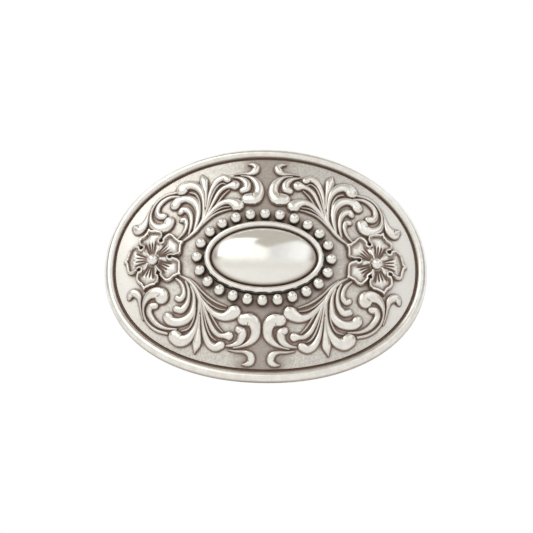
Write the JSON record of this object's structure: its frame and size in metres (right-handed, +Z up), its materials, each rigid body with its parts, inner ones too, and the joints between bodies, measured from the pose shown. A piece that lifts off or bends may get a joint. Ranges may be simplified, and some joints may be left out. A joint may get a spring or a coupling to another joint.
{
  "type": "belt buckle",
  "caption": "Curved oval silver-tone Western belt buckle with antiqued scroll and flower relief, a plain polished dome ringed by shot beads, a swinging wire bail and a fixed hook.",
  "frame": {"origin": "middle of the buckle's overall box, behind the middle of the dome", "axes": "+X to the right of someone who faces the buckle as worn, +Z up, +Y from the face towards the wearer"},
  "size_m": [0.095, 0.0166, 0.071],
  "materials": {
    "antiqued_field": "matte stippled silver tone with brown patina in the recesses",
    "polished_rim": "polished silver tone",
    "polished_dome": "mirror-polished silver tone",
    "antiqued_relief": "polished silver tone on the crests, dark patina in the creases",
    "back_fittings": "tumbled silver tone with light wear"
  },
  "bodies": {
    "buckle": {"base_plate": "antiqued_field", "rim_wire": "polished_rim", "centre_bezel": "antiqued_relief", "centre_dome": "polished_dome", "shot_bead_01": "antiqued_relief", "shot_bead_02": "antiqued_relief", "shot_bead_03": "antiqued_relief", "shot_bead_04": "antiqued_relief", "shot_bead_05": "antiqued_relief", "shot_bead_06": "antiqued_relief", "shot_bead_07": "antiqued_relief", "shot_bead_08": "antiqued_relief", "shot_bead_09": "antiqued_relief", "shot_bead_10": "antiqued_relief", "shot_bead_11": "antiqued_relief", "shot_bead_12": "antiqued_relief", "shot_bead_13": "antiqued_relief", "shot_bead_14": "antiqued_relief", "shot_bead_15": "antiqued_relief", "shot_bead_16": "antiqued_relief", "shot_bead_17": "antiqued_relief", "shot_bead_18": "antiqued_relief", "shot_bead_19": "antiqued_relief", "shot_bead_20": "antiqued_relief", "shot_bead_21": "antiqued_relief", "shot_bead_22": "antiqued_relief", "shot_bead_23": "antiqued_relief", "shot_bead_24": "antiqued_relief", "flower_left": "antiqued_relief", "flower_right": "antiqued_relief", "flower_centre_left": "antiqued_relief", "flower_centre_right": "antiqued_relief", "upper_spray_left": "antiqued_relief", "upper_spray_right": "antiqued_relief", "upper_rim_scroll_left": "antiqued_relief", "upper_rim_scroll_right": "antiqued_relief", "upper_crest_left": "antiqued_relief", "upper_crest_right": "antiqued_relief", "lower_spray_left": "antiqued_relief", "lower_spray_right": "antiqued_relief", "lower_rim_scroll_left": "antiqued_relief", "lower_rim_scroll_right": "antiqued_relief", "lower_crest_left": "antiqued_relief", "lower_crest_right": "antiqued_relief", "bail_hinge_block": "back_fittings", "hook_stud": "back_fittings"},
    "bail": {"belt_bail": "back_fittings"}
  },
  "joints": [
    {"name": "bail_hinge", "type": "hinge", "parent": "buckle", "child": "bail", "pos_m": [0.013, 0.00267, 0], "axis": [0, 0, 1], "range_deg": [-2, 165]}
  ]
}
